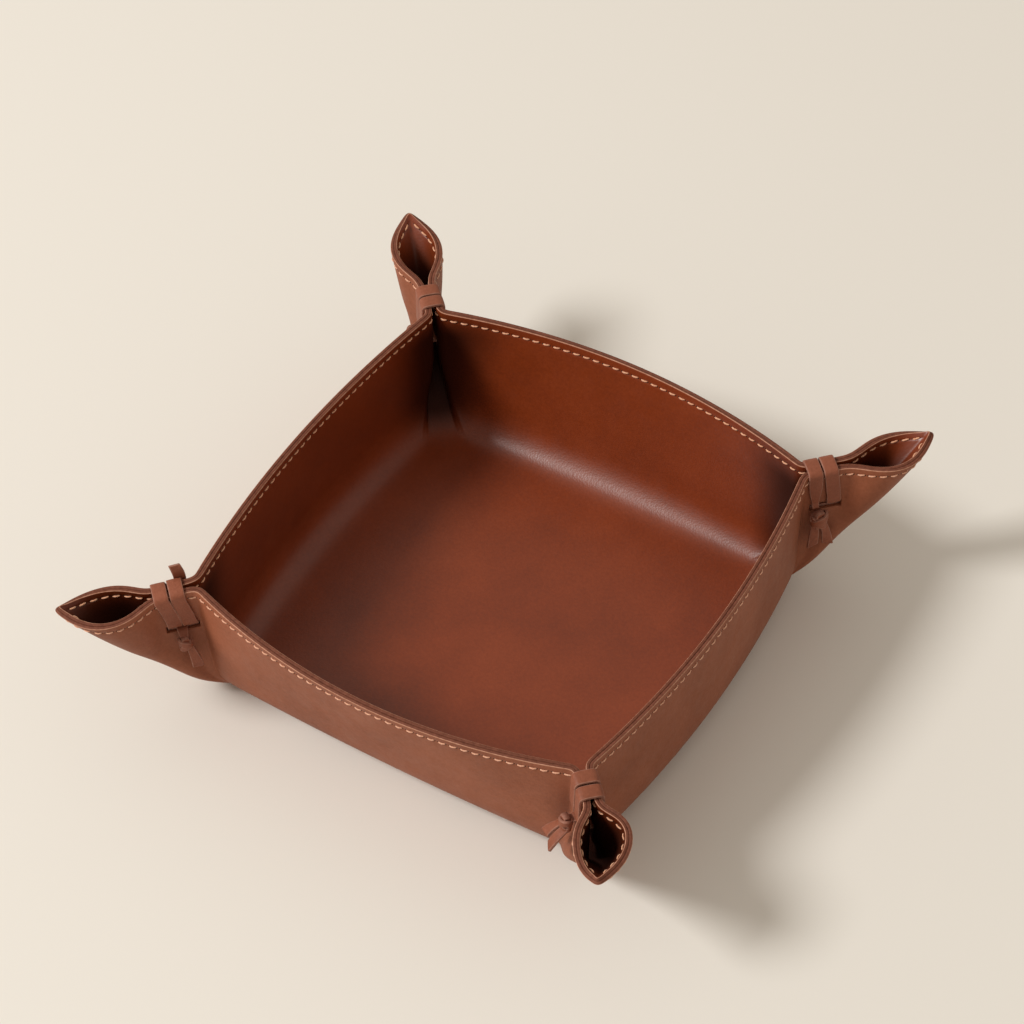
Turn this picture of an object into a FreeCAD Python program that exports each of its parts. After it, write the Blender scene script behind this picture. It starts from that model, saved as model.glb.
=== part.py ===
import FreeCAD
import Part
import Sketcher
import math
import os

# Square leather tray with laced corners, millimetres, +Z up, underside of the floor at z = 0.
doc = FreeCAD.newDocument("OrganizerTray")

SIZES = [
    ("outer_leather", 1.2),
    ("lining_leather", 1.2),
    ("tie_height", 49.5),
    ("rim_sag", 1.2),
    ("side_rim_bulge", 7.2),
    ("front_rim_bulge", 13.2),
    ("side_floor_bulge", 7.0),
    ("front_floor_bulge", 0.0),
    ("floor_width", 144.0),
    ("tie_inset", 1.5),
    ("floor_flat_margin", 17.0),
    ("floor_corner_round", 14.0),
    ("wall_corner_round", 10.0),
    ("rim_turn", 3.0),
    ("edge_reach", 34.5),
    ("pinch_gap", 1.0),
    ("fold_close_angle", 132.0),
    ("fold_back_radius", 9.0),
    ("fold_narrowing", 0.4),
    ("fold_opening_power", 2.0),
    ("fold_spread_power", 2.4),
    ("tip_point", 1.0),
    ("neck_length", 14.0),
    ("neck_release", 7.0),
    ("grip_depth", 20.0),
    ("grip_release", 14.0),
    ("back_right_ear_length", 44.5),
    ("back_left_ear_length", 45.3),
    ("front_left_ear_length", 45.3),
    ("front_right_ear_length", 41.3),
    ("back_right_tip_rise", 5.3),
    ("back_left_tip_rise", 5.5),
    ("front_left_tip_rise", -2.0),
    ("front_right_tip_rise", -3.0),
    ("back_right_fold_rise", 54.0),
    ("back_left_fold_rise", 55.0),
    ("front_left_fold_rise", 45.0),
    ("front_right_fold_rise", 43.5),
    ("back_right_fold_radius", 7.5),
    ("back_left_fold_radius", 8.0),
    ("front_left_fold_radius", 7.9),
    ("front_right_fold_radius", 8.4),
    ("back_right_mouth_shift", -1.5),
    ("back_left_mouth_shift", 0.0),
    ("front_left_mouth_shift", 1.5),
    ("front_right_mouth_shift", 0.9),
    ("back_right_tip_shift", 1.6),
    ("back_left_tip_shift", -1.0),
    ("front_left_tip_shift", -1.8),
    ("front_right_tip_shift", -5.5),
    ("seam_inset", 3.0),
    ("stitch_pitch", 3.7),
    ("stitch_length", 2.5),
    ("stitch_width", 0.8),
    ("stitch_height", 0.3),
    ("stitch_clearance", 0.03),
    ("lace_thickness", 1.1),
    ("lace_strand_width", 4.8),
    ("lace_strand_gap", 0.5),
    ("lace_start", 2.7),
    ("lace_lean_share", 0.5),
    ("lace_side_clearance", 0.9),
    ("lace_rim_clearance", 0.3),
    ("lace_corner_round", 1.4),
    ("slot_depth", 14.5),
    ("slot_height", 3.0),
    ("slot_end_clearance", 0.4),
    ("slot_top_clearance", 0.3),
    ("stem_width", 5.0),
    ("knot_depth", 20.5),
    ("knot_length", 3.9),
    ("knot_thickness", 2.3),
    ("knot_height", 2.7),
    ("knot_stand_off", 2.9),
    ("knot_wrap_radius", 2.0),
    ("knot_wrap_thickness", 0.85),
    ("lace_end_root_width", 3.0),
    ("lace_end_tip_width", 4.0),
    ("lace_end_length", 8.6),
    ("lace_end_spread", 9.0),
    ("lace_end_lift", 12.0),
    ("lace_end_gap", 0.3),
    ("raised_end_height", 8.0),
    ("raised_end_width", 4.0),
]
CORNERS = ["back_right", "back_left", "front_left", "front_right"]
KNOT_SIDE = [-1, 1, 1, -1]

sheet = doc.addObject("Spreadsheet::Sheet", "sizes")
for row, (name, value) in enumerate(SIZES, start=1):
    sheet.set("A%d" % row, name)
    sheet.set("B%d" % row, "%g" % value)
    sheet.setAlias("B%d" % row, name)
doc.recompute()


def size(name):
    return float(sheet.get(name))


OUTER = size("outer_leather")
LINING = size("lining_leather")
TIE_HEIGHT = size("tie_height")
FLOOR_HALF = size("floor_width") / 2
TIE_HALF = FLOOR_HALF - size("tie_inset")
PINCH = LINING + size("pinch_gap") / 2
ROOT2 = math.sqrt(2)
TIE_REACH = TIE_HALF * ROOT2
WIDTH = 2 * size("lace_strand_width") + size("lace_strand_gap")
STRIP = size("lace_thickness")


# The sheet between the two panels is a smooth surface over a net of poles. Each octant of the
# net has wall columns, from the middle of a wall to the tie, and ear columns, from the tie to
# the crease of the ear. Rows run from the flat floor up to the rim.
WALL_STEPS = [0.0, 0.25, 0.50, 0.72, 0.88, 1.0]
EAR_STEPS = [0.0, 0.09, 0.175, 0.26, 0.35, 0.45, 0.55, 0.65, 0.75, 0.85, 0.936, 1.0]
ROWS = [-1.0, -0.66, -0.33, 0.16, 0.32, 0.45, 0.57, 0.68, 0.79, 0.90, 1.0]


def ear_section(corner, flat):
    """Half of the ear's drop-shaped section: sideways and upward distance at a flat distance
    from the crease."""
    radius = size(corner + "_fold_radius")
    turn = math.radians(size("fold_close_angle"))
    if flat <= radius * turn:
        return radius * math.sin(flat / radius), radius * (1 - math.cos(flat / radius))
    side = radius * math.sin(turn)
    rise = radius * (1 - math.cos(turn))
    back = size("fold_back_radius")
    back_turn = turn - math.pi / 2
    straight = (side - back * (1 - math.cos(back_turn)) - PINCH) / math.cos(math.pi - turn)
    left = flat - radius * turn
    if left <= straight:
        return side + math.cos(turn) * left, rise + math.sin(turn) * left
    side += math.cos(turn) * straight
    rise += math.sin(turn) * straight
    left -= straight
    if left <= back * back_turn:
        angle = turn - left / back
        return (side - back * (math.sin(angle) - math.sin(turn)),
                rise + back * (math.cos(angle) - math.cos(turn)))
    return PINCH, rise + back * math.sin(back_turn) + left - back * back_turn


def ear_rim(corner, step):
    """Reach, sideways distance and height of the rim of an ear."""
    rise = math.radians(size(corner + "_fold_rise"))
    flat_reach = size("edge_reach")
    flat = (1 - step) * flat_reach

    def raw(distance):
        side, up = ear_section(corner, distance)
        reach = TIE_REACH + size(corner + "_ear_length")
        reach -= distance * math.cos(rise) + up * math.sin(rise)
        height = TIE_HEIGHT + size(corner + "_tip_rise")
        height += up * math.cos(rise) - distance * math.sin(rise)
        return reach, side, height

    here = raw(flat)
    root = raw(flat_reach)
    reach = here[0] + (1 - step) * (TIE_REACH - root[0])
    height = here[2] + (1 - step) * (TIE_HEIGHT - root[2])
    if flat == 0:
        reach += size("tip_point")
    return reach, here[1], height


def column_points(corner):
    """Floor start, bend and rim point of each column of one octant."""
    floor_round = size("floor_corner_round")
    wall_round = size("wall_corner_round")
    margin = size("floor_flat_margin")
    inner = FLOOR_HALF - margin - floor_round
    outer = FLOOR_HALF - wall_round
    turn_in = PINCH * 0.7
    columns = []
    for step in WALL_STEPS:
        start = (FLOOR_HALF - margin, inner * step, 0.0)
        bend = (FLOOR_HALF, outer * step, 0.0)
        rim = (TIE_HALF + turn_in, (TIE_HALF - turn_in - size("rim_turn")) * step, TIE_HEIGHT)
        columns.append((start, bend, rim, 0.0, False))
    for step in EAR_STEPS:
        angle = math.pi / 4 * (0.1 + 0.9 * step)
        start = (inner + floor_round * math.cos(angle), inner + floor_round * math.sin(angle), 0.0)
        bend = (outer + wall_round * math.cos(angle), outer + wall_round * math.sin(angle), 0.0)
        reach, side, height = ear_rim(corner, step)
        rim = ((reach + side) / ROOT2, (reach - side) / ROOT2, height)
        columns.append((start, bend, rim, step, True))
    return columns


def eased(share):
    share = min(max(share, 0.0), 1.0)
    return share * share * (3 - 2 * share)


def grip(reach, depth):
    """How firmly the lace holds the two flaps together, 1 at the neck and 0 away from it."""
    along = eased((reach - TIE_REACH - size("neck_length")) / size("neck_release"))
    down = eased((depth - size("grip_depth")) / size("grip_release"))
    return (1 - along) * (1 - down)


def octant(corner):
    columns = []
    for start, bend, rim, step, ear in column_points(corner):
        column = []
        for row in ROWS:
            if row < 0:
                point = [b + (f - b) * -row for f, b in zip(start, bend)]
            elif not ear:
                point = [b + (t - b) * row for b, t in zip(bend, rim)]
            else:
                bend_reach = (bend[0] + bend[1]) / ROOT2
                bend_side = (bend[0] - bend[1]) / ROOT2
                rim_reach = (rim[0] + rim[1]) / ROOT2
                rim_side = (rim[0] - rim[1]) / ROOT2
                reach = bend_reach + (rim_reach - bend_reach) * row
                spread = (1 - row) ** size("fold_spread_power")
                narrow = size("fold_narrowing")
                open_share = narrow + (1 - narrow) * row ** size("fold_opening_power")
                held = min(rim_side, PINCH)
                side = held * (1 - spread) + (rim_side - held) * open_share + bend_side * spread
                side += (min(side, held) - side) * grip(reach, rim[2] * (1 - row))
                point = [(reach + side) / ROOT2, (reach - side) / ROOT2, rim[2] * row]
            column.append(point)
        columns.append(column)
    return columns


def bulged(point, bulge_x, bulge_y):
    """Moves a point of one quadrant outward by the bulge of the two walls it lies between."""
    x, y, height = point
    up = height / TIE_HEIGHT
    along_y = 1 - min(abs(y) / FLOOR_HALF, 1.0) ** 2
    along_x = 1 - min(abs(x) / FLOOR_HALF, 1.0) ** 2
    near_x = min(x / FLOOR_HALF, 1.0) ** 2
    near_y = min(y / FLOOR_HALF, 1.0) ** 2
    moved_x = x + (bulge_x[0] + (bulge_x[1] - bulge_x[0]) * up) * along_y * near_x
    moved_y = y + (bulge_y[0] + (bulge_y[1] - bulge_y[0]) * up) * along_x * near_y
    if height > 0:
        sag = size("rim_sag") * min(up, 1.0)
        if x > FLOOR_HALF / 2:
            height -= sag * along_y
        if y > FLOOR_HALF / 2:
            height -= sag * along_x
    return moved_x, moved_y, height


def middle_poles():
    """Pole columns counter-clockwise from the middle of the right wall."""
    side_bulge = (size("side_floor_bulge"), size("side_rim_bulge"))
    front_bulge = (size("front_floor_bulge"), size("front_rim_bulge"))
    columns = []
    for index, corner in enumerate(CORNERS):
        first = octant(corner)
        second = [[[p[1], p[0], p[2]] for p in column] for column in first[::-1][1:-1]]
        bulge_x, bulge_y = (side_bulge, front_bulge) if index % 2 == 0 else (front_bulge, side_bulge)
        cosine = [1, 0, -1, 0][index]
        sine = [0, 1, 0, -1][index]
        for column in first + second:
            moved = []
            for point in column:
                x, y, height = bulged(point, bulge_x, bulge_y)
                reach = (x + y) / ROOT2
                side = (x - y) / ROOT2
                free = size("neck_length")
                far = max(0.0, (reach - TIE_REACH - free) / (size(corner + "_ear_length") - free))
                side -= size(corner + "_mouth_shift") * 4 * far * (1 - far)
                side -= size(corner + "_tip_shift") * far * far
                x = (reach + side) / ROOT2
                y = (reach - side) / ROOT2
                moved.append(FreeCAD.Vector(cosine * x - sine * y, sine * x + cosine * y, height + OUTER))
            columns.append(moved)
    return columns


def smooth_surface(columns):
    count = len(columns)
    rows = len(columns[0])
    turned = [columns[-1]] + columns[:-1]
    knots = [i / (rows - 3) for i in range(rows - 2)]
    surface = Part.BSplineSurface()
    surface.buildFromPolesMultsKnots(
        turned,
        [1] * (count + 1),
        [4] + [1] * (rows - 4) + [4],
        [float(i) for i in range(count + 1)],
        knots,
        True,
        False,
        3,
        3,
    )
    return surface


def row_parameters(rows):
    inner = [i / (rows - 3) for i in range(1, rows - 3)]
    flat_knots = [0.0] * 4 + inner + [1.0] * 4
    return [sum(flat_knots[i + 1:i + 4]) / 3 for i in range(rows)]


POLES = middle_poles()
COUNT = len(POLES)
MIDDLE = smooth_surface(POLES)
HEIGHTS = row_parameters(len(ROWS))


def outward(u, v):
    """Unit normal of the middle sheet, away from the inside of the tray."""
    normal = MIDDLE.normal(u % COUNT, v)
    return normal * FACING


FACING = 1.0
if MIDDLE.normal(0.0, 0.0).z > 0:
    FACING = -1.0


def moved_surface(distance):
    columns = []
    for index, column in enumerate(POLES):
        moved = []
        for point, v in zip(column, HEIGHTS):
            moved.append(point + outward(float(index), v) * distance)
        columns.append(moved)
    return smooth_surface(columns)


OUTSIDE = moved_surface(OUTER)
INSIDE = moved_surface(-LINING)


def patches(surface):
    """The four quarters of a skin, each from wall middle to wall middle."""
    faces = []
    for index in range(4):
        quarter = surface.copy()
        quarter.segment(COUNT * index / 4, COUNT * (index + 1) / 4, 0.0, 1.0)
        faces.append(quarter.toShape())
    return faces


def end_edge(face, v):
    """The edge of a skin quarter at the floor, v = 0, or at the rim, v = 1."""
    surface = face.Surface
    u0, u1, v0, v1 = face.ParameterRange
    wanted = [surface.value(u0, v), surface.value(u1, v)]

    def misfit(edge):
        ends = [edge.Vertexes[0].Point, edge.Vertexes[-1].Point]
        straight = ends[0].distanceToPoint(wanted[0]) + ends[1].distanceToPoint(wanted[1])
        crossed = ends[0].distanceToPoint(wanted[1]) + ends[1].distanceToPoint(wanted[0])
        return min(straight, crossed)

    return min(face.Edges, key=misfit)


def panel_shape(first, second):
    """A closed panel between two skins, with a flat floor and a rim face."""
    faces = []
    quarters = [patches(first), patches(second)]
    for group in quarters:
        faces += group
        floor_edges = [end_edge(face, 0.0) for face in group]
        wire = Part.Wire(Part.__sortEdges__(floor_edges))
        faces.append(Part.Face(wire))
    for near, away in zip(quarters[0], quarters[1]):
        faces.append(Part.makeRuledSurface(end_edge(near, 1.0), end_edge(away, 1.0)))
    shell = Part.Shell(faces)
    shell.sewShape()
    solid = Part.Solid(shell)
    if solid.Volume < 0:
        solid.reverse()
    return solid


# Where each lace sits: the line of the neck's rim, from the tie outward.
def neck_line(index):
    """Point of the rim at the lace's start and the lean of the rim there."""
    first = COUNT * (index + 0.5) / 4
    span = len(EAR_STEPS)
    start = TIE_REACH + size("lace_start")
    points = []
    for wanted in (start, start + WIDTH):
        best = None
        for part in range(span * 20):
            for side in (-1, 1):
                point = MIDDLE.value((first + side * part / 20) % COUNT, 1.0)
                reach = abs(point.x) / ROOT2 + abs(point.y) / ROOT2
                misfit = abs(reach - wanted)
                if best is None or misfit < best[0] - 1e-9:
                    best = (misfit, point)
        points.append(FreeCAD.Vector(wanted, 0, best[1].z))
    rise = (points[1].z - points[0].z) * size("lace_lean_share")
    points[0].z = max(points[0].z, points[1].z - rise)
    return points[0], math.degrees(math.atan2(rise, WIDTH))


def corner_placement(index):
    """X out along the neck, Z up square to its rim, origin on the rim at the lace's start."""
    start, lean = neck_line(index)
    turn = FreeCAD.Rotation(FreeCAD.Vector(0, 0, 1), 45 + 90 * index)
    tilt = FreeCAD.Rotation(FreeCAD.Vector(0, 1, 0), -lean)
    return FreeCAD.Placement(turn.multVec(start), turn.multiply(tilt))


def placed(index, x, y, z, spin=0.0, lift=0.0):
    here = corner_placement(index)
    turn = FreeCAD.Rotation(FreeCAD.Vector(1, 0, 0), lift)
    turn = turn.multiply(FreeCAD.Rotation(FreeCAD.Vector(0, 1, 0), spin))
    return here.multiply(FreeCAD.Placement(FreeCAD.Vector(x, y, z), turn))


def add_shape(name, shape):
    part = doc.addObject("Part::Feature", name)
    part.Label = name
    part.Shape = shape
    part.Placement = FreeCAD.Placement()
    return part


outer_sheet = add_shape("outer_sheet", panel_shape(MIDDLE, OUTSIDE))
lining_sheet = add_shape("lining_sheet", panel_shape(MIDDLE, INSIDE))

# The lace slots, each through both flaps of its neck.
slots = []
for index, corner in enumerate(CORNERS):
    slot = doc.addObject("Part::Box", corner + "_slot")
    slot.Label = corner + "_slot"
    slot.setExpression(
        "Length",
        "2 * sizes.lace_strand_width + sizes.lace_strand_gap + 2 * sizes.slot_end_clearance",
    )
    slot.setExpression("Width", "4 * (sizes.lining_leather + sizes.outer_leather + sizes.pinch_gap)")
    slot.setExpression("Height", "sizes.slot_height")
    doc.recompute()
    slot.Placement = placed(
        index,
        -size("slot_end_clearance"),
        -slot.Width.Value / 2,
        -size("slot_depth") - size("slot_height"),
    )
    slots.append(slot)
all_slots = doc.addObject("Part::MultiFuse", "lace_slots")
all_slots.Shapes = slots
finished = []
for name, base in (("outer_panel", outer_sheet), ("lining_panel", lining_sheet)):
    panel = doc.addObject("Part::Cut", name)
    panel.Label = name
    panel.Base = base
    panel.Tool = all_slots
    finished.append(panel)


# Seam threads: rows of stitches a little below the rim, on both faces.
def seam_parameter(surface, u):
    """Row parameter at the seam's distance below the rim."""
    rim = surface.value(u, 1.0)
    low, high = 0.6, 1.0
    for _ in range(24):
        middle = (low + high) / 2
        if surface.value(u, middle).distanceToPoint(rim) > size("seam_inset"):
            low = middle
        else:
            high = middle
    return (low + high) / 2


def seam_line(surface, first, last, steps):
    line = []
    length = 0.0
    for part in range(steps + 1):
        u = first + (last - first) * part / steps
        v = seam_parameter(surface, u % COUNT)
        point = surface.value(u % COUNT, v)
        if line:
            length += point.distanceToPoint(line[-1][1])
        line.append((length, point, u, v))
    return line


def on_line(line, distance):
    for before, after in zip(line, line[1:]):
        if after[0] >= distance:
            share = (distance - before[0]) / max(after[0] - before[0], 1e-9)
            u = before[2] + (after[2] - before[2]) * share
            v = before[3] + (after[3] - before[3]) * share
            return u, v
    return line[-1][2], line[-1][3]


def stitch(surface, first, last, sign):
    """One stitch: a half-round bar on the skin, flat side down."""
    a = surface.value(first[0] % COUNT, first[1])
    b = surface.value(last[0] % COUNT, last[1])
    middle = ((first[0] + last[0]) / 2 % COUNT, (first[1] + last[1]) / 2)
    normal = outward(middle[0], middle[1]) * sign
    along = b - a
    across = along.cross(normal)
    across.normalize()
    up = across.cross(along)
    up.normalize()
    crown = (surface.value(middle[0], middle[1]) - (a + b) / 2).dot(up)
    base = a + up * (max(crown, 0.0) + size("stitch_clearance"))
    half = across * (size("stitch_width") / 2)
    arc = Part.Arc(base - half, base + up * size("stitch_height"), base + half).toShape()
    floor = Part.makeLine(base + half, base - half)
    profile = Part.Face(Part.Wire([arc, floor]))
    return profile.extrude(along)


def seam_stitches(surface, sign):
    bars = []
    for index in range(4):
        first = COUNT * (index - 0.5) / 4
        line = seam_line(surface, first, first + COUNT / 4, 260)
        length = line[-1][0]
        count = int((length - size("stitch_pitch") * 0.3) / size("stitch_pitch"))
        margin = (length - count * size("stitch_pitch")) / 2
        gap = (size("stitch_pitch") - size("stitch_length")) / 2
        for number in range(count):
            start = margin + number * size("stitch_pitch") + gap
            end = start + size("stitch_length")
            bars.append(stitch(surface, on_line(line, start), on_line(line, end), sign))
    return Part.makeCompound(bars)


finished.append(add_shape("seam_thread_inside", seam_stitches(INSIDE, -1)))
finished.append(add_shape("seam_thread_outside", seam_stitches(OUTSIDE, 1)))


# Laces: a strip wound twice over the neck and through the slot, with a knot below it.
def plane(body, role):
    return [item for item in body.Origin.OriginFeatures if item.Role == role][0]


def new_sketch(body, name, role, offset=None):
    sketch = body.newObject("Sketcher::SketchObject", name)
    sketch.AttachmentSupport = [(plane(body, role), "")]
    sketch.MapMode = "FlatFace"
    if offset:
        sketch.AttachmentOffset.Base.z = 0
        sketch.setExpression("AttachmentOffset.Base.z", offset)
    return sketch


def bind(sketch, number, name, expression):
    sketch.renameConstraint(number, name)
    sketch.setExpression("Constraints." + name, expression)


def rounded_loop(sketch, half, top, bottom, radius, prefix, formulas):
    """A rounded rectangle, symmetric about the upright axis, driven by formulas."""
    start = sketch.GeometryCount
    vector = FreeCAD.Vector
    lines = [
        (vector(-half + radius, top, 0), vector(half - radius, top, 0)),
        (vector(half, top - radius, 0), vector(half, bottom + radius, 0)),
        (vector(half - radius, bottom, 0), vector(-half + radius, bottom, 0)),
        (vector(-half, bottom + radius, 0), vector(-half, top - radius, 0)),
    ]
    for a, b in lines:
        sketch.addGeometry(Part.LineSegment(a, b), False)
    centres = [
        (half - radius, top - radius, 0),
        (half - radius, bottom + radius, 270),
        (-half + radius, bottom + radius, 180),
        (-half + radius, top - radius, 90),
    ]
    for x, y, angle in centres:
        circle = Part.Circle(vector(x, y, 0), vector(0, 0, 1), radius)
        arc = Part.ArcOfCircle(circle, math.radians(angle), math.radians(angle + 90))
        sketch.addGeometry(arc, False)
    top_line, right, low, left, arc_a, arc_b, arc_c, arc_d = range(start, start + 8)
    joins = [
        (top_line, 2, arc_a, 2),
        (right, 1, arc_a, 1),
        (right, 2, arc_b, 2),
        (low, 1, arc_b, 1),
        (low, 2, arc_c, 2),
        (left, 1, arc_c, 1),
        (left, 2, arc_d, 2),
        (top_line, 1, arc_d, 1),
    ]
    for join in joins:
        sketch.addConstraint(Sketcher.Constraint("Tangent", *join))
    for line in (top_line, low):
        sketch.addConstraint(Sketcher.Constraint("Horizontal", line))
    for line in (right, left):
        sketch.addConstraint(Sketcher.Constraint("Vertical", line))
    for arc in (arc_b, arc_c, arc_d):
        sketch.addConstraint(Sketcher.Constraint("Equal", arc_a, arc))
    number = sketch.addConstraint(Sketcher.Constraint("Radius", arc_a, radius))
    bind(sketch, number, prefix + "_round", formulas["round"])
    number = sketch.addConstraint(Sketcher.Constraint("DistanceX", -1, 1, right, 1, half))
    bind(sketch, number, prefix + "_half_right", formulas["half"])
    number = sketch.addConstraint(Sketcher.Constraint("DistanceX", left, 1, -1, 1, half))
    bind(sketch, number, prefix + "_half_left", formulas["half"])
    number = sketch.addConstraint(Sketcher.Constraint("DistanceY", -1, 1, top_line, 1, top))
    bind(sketch, number, prefix + "_top", formulas["top"])
    number = sketch.addConstraint(Sketcher.Constraint("DistanceY", low, 1, -1, 1, -bottom))
    bind(sketch, number, prefix + "_depth", formulas["depth"])


def box_sketch(sketch, left, right, low, high, formulas):
    """An upright rectangle from four formulas measured from the origin, with their signs."""
    vector = FreeCAD.Vector
    corners = [vector(left, low, 0), vector(right, low, 0), vector(right, high, 0), vector(left, high, 0)]
    for number in range(4):
        sketch.addGeometry(Part.LineSegment(corners[number], corners[(number + 1) % 4]), False)
    for number in range(4):
        sketch.addConstraint(Sketcher.Constraint("Coincident", number, 2, (number + 1) % 4, 1))
    for line in (0, 2):
        sketch.addConstraint(Sketcher.Constraint("Horizontal", line))
    for line in (1, 3):
        sketch.addConstraint(Sketcher.Constraint("Vertical", line))
    rows = [
        ("DistanceX", 0, 1, left, "left"),
        ("DistanceX", 1, 1, right, "right"),
        ("DistanceY", 0, 1, low, "low"),
        ("DistanceY", 2, 1, high, "high"),
    ]
    for kind, line, point, value, name in rows:
        if value >= 0:
            made = Sketcher.Constraint(kind, -1, 1, line, point, value)
        else:
            made = Sketcher.Constraint(kind, line, point, -1, 1, -value)
        number = sketch.addConstraint(made)
        bind(sketch, number, name, formulas[name])


NECK_HALF = PINCH + OUTER
INNER_HALF = NECK_HALF + size("lace_side_clearance")
INNER_TEXT = (
    "sizes.lining_leather + sizes.pinch_gap / 2 + sizes.outer_leather + sizes.lace_side_clearance"
)


def pad(body, name, sketch, length):
    feature = body.newObject("PartDesign::Pad", name)
    feature.Profile = sketch
    feature.setExpression("Length", length)
    return feature


def lace(index, corner):
    side = KNOT_SIDE[index]
    body = doc.addObject("PartDesign::Body", corner + "_lace")
    body.Label = corner + "_lace"
    outer_half = INNER_HALF + STRIP
    top = size("lace_rim_clearance")
    under = size("slot_depth") + size("slot_top_clearance")
    starts = ["0", "sizes.lace_strand_width + sizes.lace_strand_gap"]
    for number, start in enumerate(starts):
        loop = new_sketch(body, "%s_turn_%d_profile" % (corner, number + 1), "YZ_Plane", start)
        rounded_loop(
            loop, outer_half, top + STRIP, -under - STRIP, size("lace_corner_round"), "outer",
            {
                "half": INNER_TEXT + " + sizes.lace_thickness",
                "top": "sizes.lace_rim_clearance + sizes.lace_thickness",
                "depth": "sizes.slot_depth + sizes.slot_top_clearance + sizes.lace_thickness",
                "round": "sizes.lace_corner_round",
            },
        )
        rounded_loop(
            loop, INNER_HALF, top, -under, size("lace_corner_round") / 3, "inner",
            {
                "half": INNER_TEXT,
                "top": "sizes.lace_rim_clearance",
                "depth": "sizes.slot_depth + sizes.slot_top_clearance",
                "round": "sizes.lace_corner_round / 3",
            },
        )
        pad(body, "%s_turn_%d" % (corner, number + 1), loop, "sizes.lace_strand_width")
        if number == 0:
            stem = new_sketch(
                body, corner + "_stem_profile", "YZ_Plane",
                "sizes.lace_strand_width + sizes.lace_strand_gap / 2 - sizes.stem_width / 2",
            )
            near = side * INNER_HALF
            away = side * outer_half
            box = {
                "low": "sizes.knot_depth",
                "high": "sizes.slot_depth - sizes.lace_thickness",
                "left": INNER_TEXT + (" + sizes.lace_thickness" if side < 0 else ""),
                "right": INNER_TEXT + (" + sizes.lace_thickness" if side > 0 else ""),
            }
            box_sketch(
                stem, min(near, away), max(near, away),
                -size("knot_depth"), -size("slot_depth") + STRIP, box,
            )
            pad(body, corner + "_stem", stem, "sizes.stem_width")
    knot = body.newObject("PartDesign::AdditiveEllipsoid", corner + "_knot")
    knot.setExpression("Radius1", "sizes.knot_height")
    knot.setExpression("Radius2", "sizes.knot_length")
    knot.setExpression("Radius3", "sizes.knot_thickness")
    centre = FreeCAD.Vector(WIDTH / 2, side * (INNER_HALF + size("knot_stand_off")), -size("knot_depth"))
    knot.Placement = FreeCAD.Placement(centre, FreeCAD.Rotation())
    wrap = body.newObject("PartDesign::AdditiveTorus", corner + "_knot_wrap")
    wrap.setExpression("Radius1", "sizes.knot_wrap_radius")
    wrap.setExpression("Radius2", "sizes.knot_wrap_thickness")
    wrap.Placement = FreeCAD.Placement(centre, FreeCAD.Rotation(FreeCAD.Vector(0, 1, 0), 90 - 25 * side))
    if corner == "front_left":
        raised = new_sketch(
            body, corner + "_raised_end_profile", "YZ_Plane",
            "sizes.lace_strand_width + sizes.lace_strand_gap",
        )
        box = {
            "low": "sizes.lace_corner_round",
            "high": "sizes.raised_end_height",
            "left": INNER_TEXT + " + sizes.lace_thickness",
            "right": INNER_TEXT,
        }
        box_sketch(
            raised, -outer_half, -INNER_HALF, -size("lace_corner_round"), size("raised_end_height"), box,
        )
        pad(body, corner + "_raised_end", raised, "sizes.raised_end_width")
    body.Placement = placed(index, 0, 0, 0)
    return body


def lace_end(index, corner, number, spin):
    """A free end of the lace, hanging from the knot."""
    side = KNOT_SIDE[index]
    name = "%s_lace_end_%d" % (corner, number)
    body = doc.addObject("PartDesign::Body", name)
    body.Label = name
    outline = new_sketch(body, name + "_outline", "XZ_Plane")
    root = size("lace_end_root_width") / 2
    tip = size("lace_end_tip_width") / 2
    length = size("lace_end_length")
    vector = FreeCAD.Vector
    corners = [vector(-root, 0, 0), vector(-tip, -length, 0), vector(tip, -length, 0), vector(root, 0, 0)]
    for part in range(4):
        outline.addGeometry(Part.LineSegment(corners[part], corners[(part + 1) % 4]), False)
    for part in range(4):
        outline.addConstraint(Sketcher.Constraint("Coincident", part, 2, (part + 1) % 4, 1))
    outline.addConstraint(Sketcher.Constraint("PointOnObject", 0, 1, -1))
    outline.addConstraint(Sketcher.Constraint("Symmetric", 0, 1, 3, 1, -2))
    outline.addConstraint(Sketcher.Constraint("Symmetric", 1, 1, 1, 2, -2))
    made = outline.addConstraint(Sketcher.Constraint("DistanceX", 0, 1, 3, 1, 2 * root))
    bind(outline, made, "root_width", "sizes.lace_end_root_width")
    made = outline.addConstraint(Sketcher.Constraint("DistanceX", 1, 1, 1, 2, 2 * tip))
    bind(outline, made, "tip_width", "sizes.lace_end_tip_width")
    made = outline.addConstraint(Sketcher.Constraint("DistanceY", 1, 1, -1, 1, length))
    bind(outline, made, "long", "sizes.lace_end_length")
    pad(body, name + "_strip", outline, "sizes.lace_thickness")
    shift = 1 if number == 2 else -1
    along = WIDTH / 2 + shift * (size("lace_end_root_width") / 2 + size("lace_end_gap"))
    away = side * (INNER_HALF + size("knot_stand_off")) + STRIP / 2
    down = -size("knot_depth") - size("knot_height") - size("lace_end_gap")
    body.Placement = placed(index, along, away, down, spin, side * size("lace_end_lift"))
    return body


for index, corner in enumerate(CORNERS):
    finished.append(lace(index, corner))
    spread = size("lace_end_spread")
    finished.append(lace_end(index, corner, 1, spread))
    if corner != "front_left":
        finished.append(lace_end(index, corner, 2, -spread))

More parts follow.
